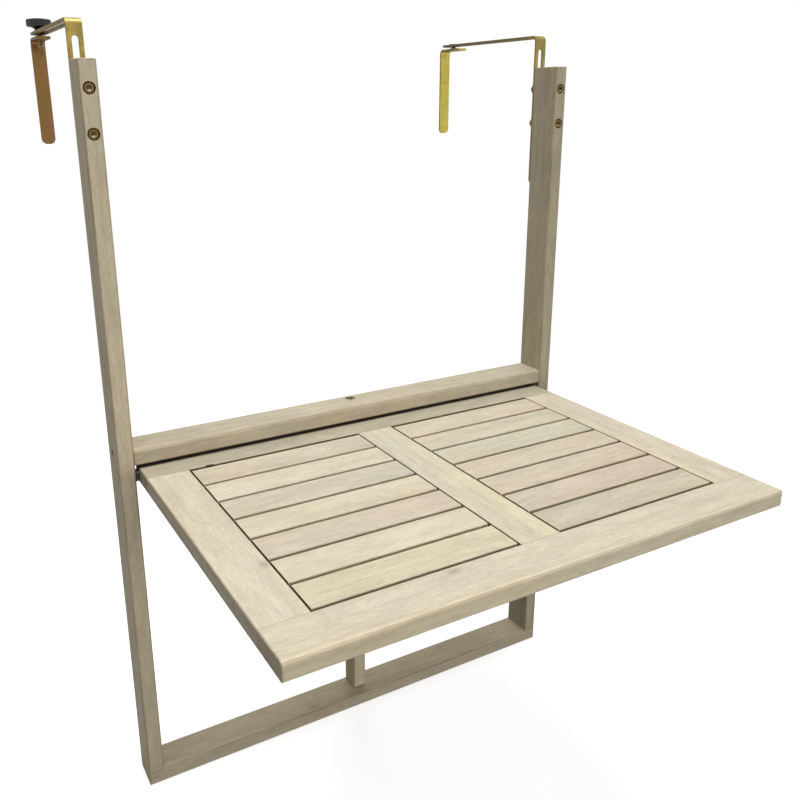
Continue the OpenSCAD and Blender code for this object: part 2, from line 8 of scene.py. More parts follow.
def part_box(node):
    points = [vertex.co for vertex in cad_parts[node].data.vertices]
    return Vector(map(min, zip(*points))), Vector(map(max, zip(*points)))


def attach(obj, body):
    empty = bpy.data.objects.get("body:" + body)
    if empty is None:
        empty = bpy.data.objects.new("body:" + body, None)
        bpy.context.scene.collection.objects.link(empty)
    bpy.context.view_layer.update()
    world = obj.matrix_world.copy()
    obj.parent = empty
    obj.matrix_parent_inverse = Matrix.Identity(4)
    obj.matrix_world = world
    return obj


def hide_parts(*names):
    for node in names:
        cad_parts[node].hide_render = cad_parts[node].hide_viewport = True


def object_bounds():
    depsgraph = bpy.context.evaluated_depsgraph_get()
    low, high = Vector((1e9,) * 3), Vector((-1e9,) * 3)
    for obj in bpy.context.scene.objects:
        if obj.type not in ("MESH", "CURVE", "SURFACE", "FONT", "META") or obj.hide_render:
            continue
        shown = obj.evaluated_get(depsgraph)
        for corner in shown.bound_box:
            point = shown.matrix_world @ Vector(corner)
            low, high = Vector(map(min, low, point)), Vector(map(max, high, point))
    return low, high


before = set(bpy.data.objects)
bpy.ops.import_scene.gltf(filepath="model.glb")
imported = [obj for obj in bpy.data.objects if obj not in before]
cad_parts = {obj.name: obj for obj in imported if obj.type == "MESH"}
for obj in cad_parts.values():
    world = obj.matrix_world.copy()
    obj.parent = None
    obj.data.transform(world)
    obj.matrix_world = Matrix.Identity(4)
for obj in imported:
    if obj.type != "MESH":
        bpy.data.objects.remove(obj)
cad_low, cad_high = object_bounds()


# The two uprights: planed acacia, 18 x 42 mm, 822 mm long, standing on the ends of the bottom rail.
# Their long edges and top ends are eased, and the whole frame is brushed with a thin whitewash that
# lets the grain, the pinkish heartwood and a few grey knots show through.
MM = 0.001


def srgb(red, green, blue):
    """Colour seen on screen, 0 to 255, as the linear colour that a shader takes."""
    def linear(value):
        value /= 255
        return value / 12.92 if value <= 0.04045 else ((value + 0.055) / 1.055) ** 2.4
    return (linear(red), linear(green), linear(blue), 1.0)


def feed(tree, socket, value):
    """An input takes a plain value or another node's output."""
    if isinstance(value, bpy.types.NodeSocket):
        tree.links.new(value, socket)
    else:
        socket.default_value = value


def plug(tree, node, inputs):
    for key, value in inputs.items():
        feed(tree, node.inputs[key], value)


def add_node(tree, kind, inputs=None, **settings):
    """New node with its settings and its inputs."""
    made = tree.nodes.new(kind)
    for key, value in settings.items():
        setattr(made, key, value)
    plug(tree, made, inputs or {})
    return made


def node_value(tree, kind, inputs=None, **settings):
    """The first output of a new node."""
    return add_node(tree, kind, inputs, **settings).outputs[0]


def number(tree, operation, first, second=0.0, third=0.0):
    return node_value(tree, "ShaderNodeMath", {0: first, 1: second, 2: third}, operation=operation)


def vector(tree, operation, first, second=(0, 0, 0), third=(0, 0, 0)):
    made = add_node(tree, "ShaderNodeVectorMath", {0: first, 1: second, 2: third}, operation=operation)
    return made.outputs["Value" if operation == "LENGTH" else "Vector"]


def ramp(tree, value, low, high, to_low=0.0, to_high=1.0, smooth=True):
    """value moved from the span low..high to the span to_low..to_high, and held there outside it."""
    made = add_node(
        tree, "ShaderNodeMapRange",
        {"Value": value, "From Min": low, "From Max": high, "To Min": to_low, "To Max": to_high},
        interpolation_type="SMOOTHSTEP" if smooth else "LINEAR",
    )
    return made.outputs["Result"]


def mixed(tree, factor, first, second, blend_type="MIX"):
    made = add_node(tree, "ShaderNodeMix", {0: factor, 6: first, 7: second},
                    data_type="RGBA", blend_type=blend_type)
    return made.outputs[2]


def layered(tree, colour, *layers):
    """Tints laid over a colour, each by a share of its mask, which a ramp may sharpen first."""
    for tint, share, mask, *span in layers:
        if span:
            mask = ramp(tree, mask, *span)
        colour = mixed(tree, number(tree, "MULTIPLY", mask, share), colour, srgb(*tint))
    return colour


def cloud(tree, where, stretch, detail=2.0, roughness=0.6, distortion=0.0):
    """Noise from 0 to 1, whose scale along each axis is the stretch."""
    made = add_node(
        tree, "ShaderNodeTexNoise",
        {"Vector": vector(tree, "MULTIPLY", where, stretch), "Scale": 1.0, "Detail": detail,
         "Roughness": roughness, "Distortion": distortion},
    )
    return made.outputs["Fac"]


def bumped(tree, relief, strength, depth):
    return node_value(tree, "ShaderNodeBump", {"Strength": strength, "Distance": depth, "Height": relief})


def axes_of(tree, value):
    """A vector's x, y and z."""
    return add_node(tree, "ShaderNodeSeparateXYZ", {0: value}).outputs


def emptied_tree(owner):
    owner.use_nodes = True
    owner.node_tree.nodes.clear()
    return owner.node_tree


def new_material(name):
    material = bpy.data.materials.new(name)
    tree = emptied_tree(material)
    surface = add_node(tree, "ShaderNodeBsdfPrincipled")
    add_node(tree, "ShaderNodeOutputMaterial", {"Surface": surface.outputs[0]})
    return material, tree, surface


def piece_value(tree, name, output="Vector"):
    return add_node(tree, "ShaderNodeAttribute", attribute_name=name).outputs[output]


def whitewashed_timber(name, wash, warm, streak, grey):
    """Acacia under a thin whitewash. Each piece carries its own grain direction, seed, tone and knot."""
    material, tree, surface = new_material(name)
    grain = piece_value(tree, "grain")
    seed = piece_value(tree, "seed", "Fac")
    lightness, rosy, cool = axes_of(tree, piece_value(tree, "tone"))
    place = vector(tree, "MULTIPLY_ADD", seed, (2.7, 1.9, 3.3), grain)

    # growth rings round a pith that lies a little outside the board, swelling round the knot
    wander = vector(tree, "SINE", vector(tree, "MULTIPLY", seed, (17.0, 23.0, 31.0)))
    pith = vector(tree, "MULTIPLY_ADD", wander, (0.0, 0.028, 0.016), (0.0, 0.0, 0.044))
    knot_gap = vector(tree, "SUBTRACT", grain, piece_value(tree, "knot"))
    knot_far = vector(tree, "LENGTH", vector(tree, "MULTIPLY", knot_gap, (0.62, 1.0, 0.25)))
    knot_near = ramp(tree, knot_far, 0.003, 0.020, 1.0, 0.0)
    swell = vector(tree, "MULTIPLY", knot_near, (0.0, 0.006, 0.010))
    ring_place = vector(tree, "ADD", vector(tree, "SUBTRACT", grain, pith), swell)
    rings = add_node(
        tree, "ShaderNodeTexWave",
        {"Vector": vector(tree, "MULTIPLY", ring_place, (0.055, 1.0, 1.0)), "Scale": 34.0,
         "Distortion": 5.5, "Detail": 3.0, "Detail Scale": 1.1, "Detail Roughness": 0.55,
         "Phase Offset": number(tree, "MULTIPLY", seed, 9.0)},
        wave_type="RINGS", rings_direction="X",
    ).outputs["Fac"]

    broad = cloud(tree, place, (4.5, 26.0, 26.0), 3.0, 0.55, 0.4)
    patches = cloud(tree, place, (7.0, 15.0, 15.0), 2.0, 0.5)
    streaks = cloud(tree, place, (9.0, 210.0, 210.0), 4.0, 0.6)
    fibres = cloud(tree, place, (60.0, 1150.0, 1150.0))
    pores = cloud(tree, place, (130.0, 1900.0, 1900.0), 1.0, 0.5)
    dashes = cloud(tree, place, (70.0, 1300.0, 1300.0))
    speckle = cloud(tree, place, (110.0, 420.0, 420.0))
    smudges = cloud(tree, place, (24.0, 90.0, 90.0), 4.0, 0.65, 0.4)

    # a paler band of sapwood along one edge, where the piece has one, clearest towards one end
    sap_edge, sap_side, sap_share = axes_of(tree, piece_value(tree, "sap"))
    lengthways, across = axes_of(tree, grain)[:2]
    ragged = number(tree, "MULTIPLY_ADD", number(tree, "SUBTRACT", broad, 0.5), 0.010, across)
    reach = number(tree, "MULTIPLY", number(tree, "SUBTRACT", ragged, sap_edge), sap_side)
    band = number(tree, "MULTIPLY", ramp(tree, reach, -0.0030, 0.0040), sap_share)

    # knots have a greyish eye with a darker heart, pinholes are small dark specks; ends drink more stain;
    # eased edges are darker where the wash is rubbed thin, with painted shade that dulls their highlight,
    # and faces in gaps and under other boards are painted dark brown as painted shade
    eye = number(tree, "MULTIPLY_ADD", streaks, 0.004, knot_far)
    heart = number(tree, "MULTIPLY_ADD", fibres, 0.003, knot_far)
    hole_gap = vector(tree, "SUBTRACT", grain, piece_value(tree, "pinhole"))
    hole_far = vector(tree, "LENGTH", vector(tree, "MULTIPLY", hole_gap, (0.5, 1.0, 1.0)))
    hole = number(tree, "MULTIPLY_ADD", fibres, 0.0008, hole_far)
    # the darker eased edges: partly rubbed wash, partly painted shade
    rubbed_wash_and_edge_shade = ramp(tree, streaks, 0.30, 0.75, 0.28, 0.70)
    colour = layered(
        tree, mixed(tree, ramp(tree, broad, 0.30, 0.72), srgb(*wash), srgb(*warm)),
        (streak, 0.15, rings, 0.45, 1.0),
        (streak, 0.30, streaks, 0.50, 0.80),
        (grey, cool, patches, 0.42, 0.70, 0.25, 1.0),
        ((220, 201, 181), rosy, patches, 0.60, 0.32, 0.25, 1.0),
        (streak, 0.28, speckle, 0.40, 0.72),
        (streak, 0.18, fibres, 0.55, 0.78),
        ((158, 138, 106), 0.30, dashes, 0.56, 0.76),
        ((146, 124, 94), 0.28, pores, 0.62, 0.74),
        ((240, 227, 188), band, lengthways, 0.06, -0.06, 0.45, 1.0),
        ((152, 148, 136), 0.42, eye, 0.003, 0.0095, 1.0, 0.0),
        ((118, 108, 92), 0.26, heart, 0.0015, 0.0045, 1.0, 0.0),
        ((52, 42, 30), 0.92, hole, 0.0022, 0.0034, 1.0, 0.0),
        ((168, 152, 122), 0.42, piece_value(tree, "end", "Fac")),
        ((158, 136, 98), rubbed_wash_and_edge_shade, piece_value(tree, "edge", "Fac")),
        # painted shade: faces in gaps and under other boards are painted dark brown
        ((96, 76, 52), 1.0, piece_value(tree, "bare", "Fac")),
    )

    lightness = number(tree, "ADD", lightness, ramp(tree, smudges, 0.34, 0.66, 0.93, 1.05))
    shade = vector(tree, "MULTIPLY", piece_value(tree, "tint"), lightness)
    relief = number(tree, "MULTIPLY_ADD", fibres, 0.5, streaks)
    relief = number(tree, "MULTIPLY_ADD", pores, -0.9, relief)
    plug(tree, surface, {
        "Base Color": mixed(tree, 1.0, colour, shade, "MULTIPLY"),
        "Roughness": ramp(tree, streaks, 0.2, 0.8, 0.58, 0.72),
        "Specular IOR Level": 0.32,
        "Normal": bumped(tree, relief, 0.16, 0.35 * MM),
    })
    return material


acacia = whitewashed_timber("whitewashed acacia", (227, 220, 198), (219, 208, 183), (188, 171, 138),
                            (197, 196, 179))


def plain_mesh(obj):
    """Applies an object's modifiers and keeps the result as its own plain mesh."""
    bpy.context.view_layer.update()
    graph = bpy.context.evaluated_depsgraph_get()
    result = bpy.data.meshes.new_from_object(obj.evaluated_get(graph), depsgraph=graph)
    obj.modifiers.clear()
    obj.data = result
    return obj


def fitted(obj, nodes, body, sharp=38):
    """Smooths a finished piece, keeping flats flat and true edges sharp, hides the CAD nodes that it
    stands for and hangs it on the body that it rides."""
    obj.data.polygons.foreach_set("use_smooth", [True] * len(obj.data.polygons))
    obj.data.set_sharp_from_angle(angle=math.radians(sharp))
    weighted = obj.modifiers.new("flats", "WEIGHTED_NORMAL")
    weighted.keep_sharp = True
    weighted.weight = 80
    plain_mesh(obj)
    if nodes:
        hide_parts(*nodes)
    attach(obj, body)


def new_piece(name, mesh, material):
    obj = bpy.data.objects.new(name, mesh)
    bpy.context.scene.collection.objects.link(obj)
    mesh.materials.clear()
    mesh.materials.append(material)
    return obj


def copied_solid(node, name, material, soften):
    """A CAD node's shape as a clean mesh, with its hard edges softened by a small round."""
    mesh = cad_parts[node].data.copy()
    work = bmesh.new()
    work.from_mesh(mesh)
    bmesh.ops.remove_doubles(work, verts=work.verts, dist=0.002 * MM)
    bmesh.ops.dissolve_limit(work, angle_limit=math.radians(0.5), verts=work.verts, edges=work.edges)
    work.to_mesh(mesh)
    work.free()
    while mesh.attributes.get("custom_normal"):
        mesh.attributes.remove(mesh.attributes["custom_normal"])
    obj = new_piece(name, mesh, material)
    rounded = obj.modifiers.new("soft edges", "BEVEL")
    rounded.width = soften
    rounded.segments = 2
    rounded.limit_method = "ANGLE"
    rounded.angle_limit = math.radians(50)
    return plain_mesh(obj)


NO_TINT = (1.0, 1.0, 1.0)
FAR_OFF = (9.0, 9.0, 9.0)
NO_SAP = (0.0, 1.0, 0.0)


def mark_grain(obj, along, seed, tone=(0, 0, 0), knot=FAR_OFF, sap=NO_SAP, pinhole=FAR_OFF,
               tint=NO_TINT, panels=None):
    """Stores the grain's direction and the piece's own seed, colours, knot and sapwood, and marks its
    ends, its eased edges, which also carry painted shade, and, on the top's border, painted shade on the
    upright faces, darkest on the faces towards the panels."""
    mesh = obj.data
    points = [v.co for v in mesh.vertices]
    low = Vector(map(min, zip(*points)))
    high = Vector(map(max, zip(*points)))
    middle = (low + high) / 2
    others = [axis for axis in range(3) if axis != along]
    others.sort(key=lambda axis: low[axis] - high[axis])
    grain = [p[axis] - middle[axis] for p in points for axis in (along, *others)]
    mesh.attributes.new("grain", "FLOAT_VECTOR", "POINT").data.foreach_set("vector", grain)
    count = len(points)
    mesh.attributes.new("seed", "FLOAT", "POINT").data.foreach_set("value", [seed] * count)
    for key, value in (("tone", tone), ("knot", knot), ("sap", sap), ("pinhole", pinhole), ("tint", tint)):
        stored_value = mesh.attributes.new(key, "FLOAT_VECTOR", "POINT")
        stored_value.data.foreach_set("vector", list(value) * count)
    marks = {"end": [], "edge": [], "bare": []}
    for face in mesh.polygons:
        centre, normal = face.center, face.normal
        to_end = min(centre[along] - low[along], high[along] - centre[along])
        marks["end"].append(1.0 if to_end < 0.1 * MM and abs(normal[along]) > 0.9 else 0.0)
        gaps = sorted(min(centre[axis] - low[axis], high[axis] - centre[axis]) for axis in range(3))
        upright = abs(normal.z) < 0.5
        # painted shade on the border's upright faces, carried by the edge mark
        border_side_shade = 0.4 if panels and upright else 0.0
        marks["edge"].append(1.0 if gaps[1] < 1.6 * MM else border_side_shade)
        # painted shade: the border's faces in the gaps towards the panels are painted dark brown
        in_gap = panels and all(panels[0][axis] < centre[axis] < panels[1][axis] for axis in (0, 1))
        marks["bare"].append(0.55 if in_gap and upright else 0.0)
    for key, values in marks.items():
        mesh.attributes.new(key, "FLOAT", "FACE").data.foreach_set("value", values)


PLANED_ROUND = 0.35 * MM


def planed_board(node, along, seed, body, slot, hidden=None, **look):
    """A board of the frame, the top or the bracket, which stands for its CAD node. Faces beyond the
    hidden plane, a point and a direction, lie close to another board and are painted dark brown as painted
    shade."""
    obj = copied_solid(node, node + "_board", acacia, PLANED_ROUND)
    if hidden:
        work = bmesh.new()
        work.from_mesh(obj.data)
        bmesh.ops.bisect_plane(work, geom=[*work.verts, *work.edges, *work.faces],
                               plane_co=hidden[0], plane_no=hidden[1], dist=0.01 * MM)
        work.to_mesh(obj.data)
        work.free()
    mark_grain(obj, along, seed, **look)
    if hidden:
        # painted shade on the faces beyond the hidden plane
        gap_shade_values = obj.data.attributes["bare"].data
        for face in obj.data.polygons:
            if (face.center - Vector(hidden[0])).dot(Vector(hidden[1])) > 0:
                gap_shade_values[face.index].value = 0.9
    fitted(obj, [node], body)


X, Y, Z = 0, 1, 2
LEFT, RIGHT, FRONT, BACK, UP, DOWN = (-1, 0, 0), (1, 0, 0), (0, -1, 0), (0, 1, 0), (0, 0, 1), (0, 0, -1)
FRAME_TINT = (0.93, 0.90, 0.84)
planed_board("left_upright", Z, 0.21, "frame", "frame_wood", tone=(0.00, 0.30, 0.30), tint=FRAME_TINT)
planed_board("right_upright", Z, 0.57, "frame", "frame_wood", tone=(-0.22, 0.10, 0.40), tint=FRAME_TINT)


# The bottom rail: the same stock laid flat under both uprights, which are bolted to it from below.
# A knot shows on its upper face, a hand's width left of the post.
planed_board("bottom_rail", X, 0.83, "frame", "frame_wood", tone=(-0.07, 0.30, 0.25), tint=FRAME_TINT,
             knot=(-0.075, -0.012, 0.009))


# The cross rail: fitted between the uprights 4 mm above the top. A bolt runs into each of its ends
# through the uprights, and the bracket's upper pivot bolt is sunk in the middle of its upper face.
cross_low, cross_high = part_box("cross_rail")
planed_board("cross_rail", X, 0.37, "frame", "top_wood", tone=(-0.18, 0.35, 0.25), tint=(0.96, 0.94, 0.91),
             # the cross rail's underside is painted dark brown as painted shade
             hidden=((0, 0, cross_low.z + 0.5 * MM), DOWN))


# The bolts: yellow-passivated steel with low round heads and hexagon sockets, sunk just below the wood.
# Each is turned on a lathe, its socket is punched, and the bare end of its shank carries a rolled thread.
def object_place(tree):
    return add_node(tree, "ShaderNodeTexCoord").outputs["Object"]


def passivated_steel(name, tints, shine=0.34, painted_leg_shade=None):
    """Zinc under a yellow chromate film, whose colour drifts from gold to olive and rose."""
    material, tree, surface = new_material(name)
    where = object_place(tree)
    drift = cloud(tree, where, (48.0, 38.0, 34.0), 3.0, 0.55, 0.6)
    film = cloud(tree, where, (105.0, 84.0, 76.0), 2.0, 0.6, 1.0)
    speck = cloud(tree, where, (900.0, 900.0, 900.0))
    rolled = cloud(tree, where, (1500.0, 60.0, 60.0), 2.0, 0.5)
    gold, olive, rose, brown = tints
    colour = layered(tree, mixed(tree, ramp(tree, drift, 0.38, 0.60), srgb(*gold), srgb(*olive)),
                     (rose, 0.80, film, 0.53, 0.68), (brown, 0.75, film, 0.46, 0.30))
    # painted shade on a leg: the level leg, from a little way behind the bend, is painted darker
    if painted_leg_shade:
        leg_shade_reach = number(tree, "MULTIPLY_ADD", film, 0.02, axes_of(tree, where)[1])
        colour = layered(tree, colour, (painted_leg_shade, 0.92, leg_shade_reach, 0.022, 0.045))

    # a fastener's head is brown and bronze round the rim; its socket is painted dark as painted shade,
    # with a painted highlight on the socket's upward-facing lower wall
    local = piece_value(tree, "in_fastener")
    height = axes_of(tree, local)[2]
    out_from_axis = vector(tree, "LENGTH", vector(tree, "MULTIPLY", local, (1.0, 1.0, 0.0)))
    on_head = ramp(tree, height, 0.05 * MM, 0.25 * MM)
    rim = number(tree, "MULTIPLY", ramp(tree, out_from_axis, 4.0 * MM, 4.7 * MM), on_head)
    socket_shade = number(tree, "MULTIPLY", ramp(tree, out_from_axis, 2.95 * MM, 2.75 * MM), on_head)
    socket_shade = number(tree, "MULTIPLY", socket_shade, ramp(tree, height, 3.75 * MM, 3.45 * MM))
    upward = axes_of(tree, add_node(tree, "ShaderNodeNewGeometry").outputs["Normal"])[2]
    # painted shade: the bar's narrow sides and undersides get a darker colour and are rougher and less
    # metallic
    bar_side_shade = piece_value(tree, "bar_side_shade", "Fac")
    colour = layered(
        tree, colour,
        ((110, 88, 48), 0.12, speck, 0.60, 0.75),
        ((84, 66, 36), 0.25 if painted_leg_shade else 0.60, bar_side_shade),
        ((116, 96, 58), 0.82, on_head),
        ((92, 68, 36), 0.80, rim),
        ((76, 54, 30), 0.80, socket_shade),
        ((252, 242, 214), socket_shade, upward, 0.10, 0.30),
    )

    satin = ramp(tree, film, 0.3, 0.7, shine - 0.06, shine + 0.10)
    plug(tree, surface, {
        "Base Color": colour,
        "Roughness": number(tree, "MULTIPLY_ADD", bar_side_shade, 0.22, satin),
        "Metallic": number(tree, "MULTIPLY_ADD", bar_side_shade, -0.55, 0.85),
        "Normal": bumped(tree, number(tree, "MULTIPLY_ADD", rolled, 0.6, speck), 0.06, 0.1 * MM),
    })
    return material


bolt_zinc = passivated_steel("zinc on the bolts",
                             ((184, 156, 90), (158, 142, 80), (172, 134, 98), (126, 94, 50)))


def skinned(rings, close=False, caps=False):
    """Mesh between rings of points, of which a ring of one point is a pole. It is closed by joining
    the last ring to the first, or by capping both ends."""
    work = bmesh.new()
    rings = [[work.verts.new(point) for point in ring] for ring in rings]
    around = max(map(len, rings))
    pairs = list(zip(rings, rings[1:]))
    if close:
        pairs.append((rings[-1], rings[0]))
    for lower, upper in pairs:
        for i in range(around):
            j = (i + 1) % around
            corners = []
            for vert in (lower[i % len(lower)], lower[j % len(lower)],
                         upper[j % len(upper)], upper[i % len(upper)]):
                if vert not in corners:
                    corners.append(vert)
            if len(corners) > 2:
                work.faces.new(corners)
    if caps:
        work.faces.new(list(reversed(rings[0])))
        work.faces.new(rings[-1])
    bmesh.ops.recalc_face_normals(work, faces=work.faces)
    mesh = bpy.data.meshes.new("skinned")
    work.to_mesh(mesh)
    work.free()
    return mesh


def turned(profile, segments, close=False, at=(0, 0), grip=None):
    """Mesh turned round an upright axis from (radius, height) pairs; a pair on the axis is a pole. With
    a grip, a share for each angle, a third number is the depth to which it cuts in there."""
    turns = [2 * math.pi * i / segments for i in range(segments)]
    rings = []
    for radius, height, *depth in profile:
        if radius < 1e-7:
            rings.append([(*at, height)])
            continue
        reach = [radius - depth[0] * grip(a) if grip else radius for a in turns]
        rings.append([(at[0] + r * math.cos(a), at[1] + r * math.sin(a), height)
                      for r, a in zip(reach, turns)])
    return skinned(rings, close)


HEAD_R, HEAD_T, SHANK_R, HEX_KEY = 5.5 * MM, 4.0 * MM, 3.0 * MM, 5.0 * MM
THREAD_PITCH, THREAD_DEPTH, THREAD_SIDES = 1.0 * MM, 0.42 * MM, 24


def threaded_shank(low, high):
    """Rod along Z with a rolled thread, closed and chamfered at both ends."""
    steps = max(4, round((high - low) / THREAD_PITCH * 6))
    rings = []
    for k in range(steps + 1):
        height = low + (high - low) * k / steps
        tip = max(0.0, 1 - min(height - low, high - height) / (0.7 * MM))
        ring = []
        for i in range(THREAD_SIDES):
            phase = (height / THREAD_PITCH - i / THREAD_SIDES) % 1.0
            cut = THREAD_DEPTH * (1 - abs(2 * phase - 1))
            reach = SHANK_R - max(cut, tip * THREAD_DEPTH * 1.3)
            angle = 2 * math.pi * i / THREAD_SIDES
            ring.append((reach * math.cos(angle), reach * math.sin(angle), height))
        rings.append(ring)
    return skinned(rings, caps=True)


def joined(meshes):
    """One mesh from several closed shells."""
    work = bmesh.new()
    for mesh in meshes:
        work.from_mesh(mesh)
    result = bpy.data.meshes.new("joined")
    work.to_mesh(result)
    work.free()
    return result


def cut_by(mesh, cutter, operation="DIFFERENCE"):
    """mesh less the cutter's space, or only what both share."""
    body = bpy.data.objects.new("body", mesh)
    tool = bpy.data.objects.new("tool", cutter)
    for obj in (body, tool):
        bpy.context.scene.collection.objects.link(obj)
    boolean = body.modifiers.new("cut", "BOOLEAN")
    boolean.object = tool
    boolean.operation = operation
    boolean.solver = "EXACT"
    plain_mesh(body)
    result = body.data
    bpy.data.objects.remove(body)
    bpy.data.objects.remove(tool)
    return result


def six_sided(across_flats, low, high, tip=0.0):
    """Hexagonal prism along Z, with a conical point below its low end."""
    corner = across_flats / math.sqrt(3)
    return turned([(0, low - tip), (corner, low), (corner, high), (0, high)], 6)


def socket_bolt(shank, thread):
    """Bolt along Z: the head's top is at its own thickness, the shank hangs below z = 0."""
    head = turned(
        [(0, 0), (HEAD_R - 0.3 * MM, 0), (HEAD_R, 0.3 * MM), (HEAD_R, HEAD_T - 1.3 * MM),
         (HEAD_R - 0.35 * MM, HEAD_T - 0.6 * MM), (HEAD_R - 1.1 * MM, HEAD_T - 0.12 * MM),
         (HEAD_R - 1.8 * MM, HEAD_T), (0, HEAD_T)], 40,
    )
    socket = six_sided(HEX_KEY, HEAD_T - 2.7 * MM, HEAD_T + 1 * MM, tip=1.0 * MM)
    bevel_low, bevel_high = HEAD_T - 0.5 * MM, HEAD_T + 0.2 * MM
    bevelled = turned([(0, bevel_low), (2.5 * MM, bevel_low), (3.2 * MM, bevel_high), (0, bevel_high)],
                      40)
    head = cut_by(cut_by(head, socket), bevelled)
    top, bottom = 0.2 * MM, thread - shank
    plain = turned([(0, top), (SHANK_R, top), (SHANK_R, bottom), (0, bottom)], 24)
    return joined([head, plain, threaded_shank(-shank, bottom + 0.1 * MM)])


def enabled(sockets, name=None):
    """The one in use among the sockets that a node keeps for its kinds of data."""
    return next(s for s in sockets if s.enabled and name in (None, s.name))


def stored(tree, geometry, name, kind, domain, value):
    """The geometry with a value stored on it under a name."""
    made = add_node(tree, "GeometryNodeStoreNamedAttribute", {"Geometry": geometry, "Name": name},
                    data_type=kind, domain=domain)
    feed(tree, enabled(made.inputs, "Value"), value)
    return made.outputs[0]


def chance(tree, low, high, seed):
    """A random number for each point or instance."""
    made = add_node(tree, "FunctionNodeRandomValue", {"Seed": seed}, data_type="FLOAT")
    enabled(made.inputs, "Min").default_value = low
    enabled(made.inputs, "Max").default_value = high
    return enabled(made.outputs)


def new_group(name, inputs):
    """Geometry Nodes tree with its named inputs, and their sockets."""
    tree = bpy.data.node_groups.new(name, "GeometryNodeTree")
    for label, kind in (("Geometry", "Geometry"), *inputs):
        tree.interface.new_socket(label, in_out="INPUT", socket_type="NodeSocket" + kind)
    tree.interface.new_socket("Geometry", in_out="OUTPUT", socket_type="NodeSocketGeometry")
    return tree, add_node(tree, "NodeGroupInput").outputs


def end_group(tree, geometry, material):
    done = node_value(tree, "GeometryNodeSetMaterial", {"Geometry": geometry, "Material": material})
    add_node(tree, "NodeGroupOutput", {0: done})


def placed_tree():
    """Geometry Nodes: one fastener on every point of a sparse mesh, turned to the point's direction
    and rolled by chance."""
    tree, into = new_group("fasteners on points", [("Fastener", "Object"), ("Roll seed", "Int")])
    fastener = add_node(tree, "GeometryNodeObjectInfo", {"Object": into["Fastener"]}).outputs["Geometry"]
    position = node_value(tree, "GeometryNodeInputPosition")
    marked = stored(tree, fastener, "in_fastener", "FLOAT_VECTOR", "POINT", position)
    facing = node_value(tree, "GeometryNodeInputNamedAttribute", {"Name": "facing"},
                        data_type="FLOAT_VECTOR")
    aimed = node_value(tree, "FunctionNodeAlignRotationToVector", {"Vector": facing}, axis="Z")
    roll = chance(tree, 0.0, math.tau, into["Roll seed"])
    turn = node_value(tree, "FunctionNodeAxisAngleToRotation", {"Axis": (0, 0, 1), "Angle": roll})
    both = node_value(tree, "FunctionNodeRotateRotation", {"Rotation": aimed, "Rotate By": turn},
                      rotation_space="LOCAL")
    points = node_value(tree, "GeometryNodeMeshToPoints", {"Mesh": into["Geometry"], "Radius": 1 * MM})
    spread = node_value(tree, "GeometryNodeInstanceOnPoints",
                        {"Points": points, "Instance": marked, "Rotation": both})
    end_group(tree, node_value(tree, "GeometryNodeRealizeInstances", {"Geometry": spread}), bolt_zinc)
    return tree


def set_inputs(modifier, values):
    """Fills a Geometry Nodes modifier's inputs by their sockets' identifiers."""
    for item in modifier.node_group.interface.items_tree:
        if item.in_out == "INPUT" and item.name in values:
            modifier[item.identifier] = values[item.name]


fastener_nodes = placed_tree()


def fasteners(name, prototype, places, body, nodes, roll_seed=1):
    """Copies of a fastener at (point, direction) pairs, as one plain mesh on one body."""
    pattern = new_piece(name + "_pattern", prototype, bolt_zinc)
    mesh = bpy.data.meshes.new(name)
    mesh.from_pydata([tuple(point) for point, facing in places], [], [])
    directions = mesh.attributes.new("facing", "FLOAT_VECTOR", "POINT")
    directions.data.foreach_set("vector", [value for point, facing in places for value in facing])
    obj = new_piece(name, mesh, bolt_zinc)
    modifier = obj.modifiers.new("places", "NODES")
    modifier.node_group = fastener_nodes
    set_inputs(modifier, {"Fastener": pattern, "Roll seed": roll_seed})
    plain_mesh(obj)
    bpy.data.objects.remove(pattern)
    fitted(obj, nodes, body)


def middle_of(node):
    low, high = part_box(node)
    return [(low[axis] + high[axis]) / 2 for axis in (X, Y, Z)]


BOARD_T = 18 * MM
HEAD_SINK = 0.6 * MM
FRAME_BOLT_LONG, FRAME_BOLT_THREAD = 46 * MM, 20 * MM
upright_x, frame_y = middle_of("right_upright")[:Z]
outer_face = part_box("right_upright")[1].x
rail_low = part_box("bottom_rail")[0]
head_seat = HEAD_T + HEAD_SINK
fasteners(
    "frame_bolts_zinc", socket_bolt(FRAME_BOLT_LONG - head_seat, FRAME_BOLT_THREAD),
    [((side * (outer_face - head_seat), frame_y, middle_of("cross_rail")[Z]), facing)
     for side, facing in ((-1, LEFT), (1, RIGHT))]
    + [((side * upright_x, frame_y, rail_low.z + head_seat), DOWN) for side in (-1, 1)],
    "frame", ["frame_bolts"], roll_seed=3,
)


# Beech dowels beside each bolt, driven into blind holes so that the joints cannot turn. They are
# glued in and unseen, with the fine flecks of beech.
def plain_finish(name, first, second, stretch, detail, fineness, roughness, metallic=0.0):
    """Two shades in a fine pattern, with an even roughness or one that follows the pattern."""
    material, tree, surface = new_material(name)
    pattern = cloud(tree, object_place(tree), stretch, detail, fineness)
    if not isinstance(roughness, float):
        roughness = ramp(tree, pattern, *roughness)
    plug(tree, surface, {"Base Color": mixed(tree, pattern, srgb(*first), srgb(*second)),
                         "Roughness": roughness, "Metallic": metallic})
    return material


def finished(node, material):
    """A CAD node that keeps its own shape gets its material."""
    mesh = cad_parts[node].data
    mesh.materials.clear()
    mesh.materials.append(material)


finished("frame_dowels", plain_finish("plain beech", (214, 184, 140), (186, 150, 104),
                                      (700.0, 900.0, 900.0), 3.0, 0.6, 0.6))


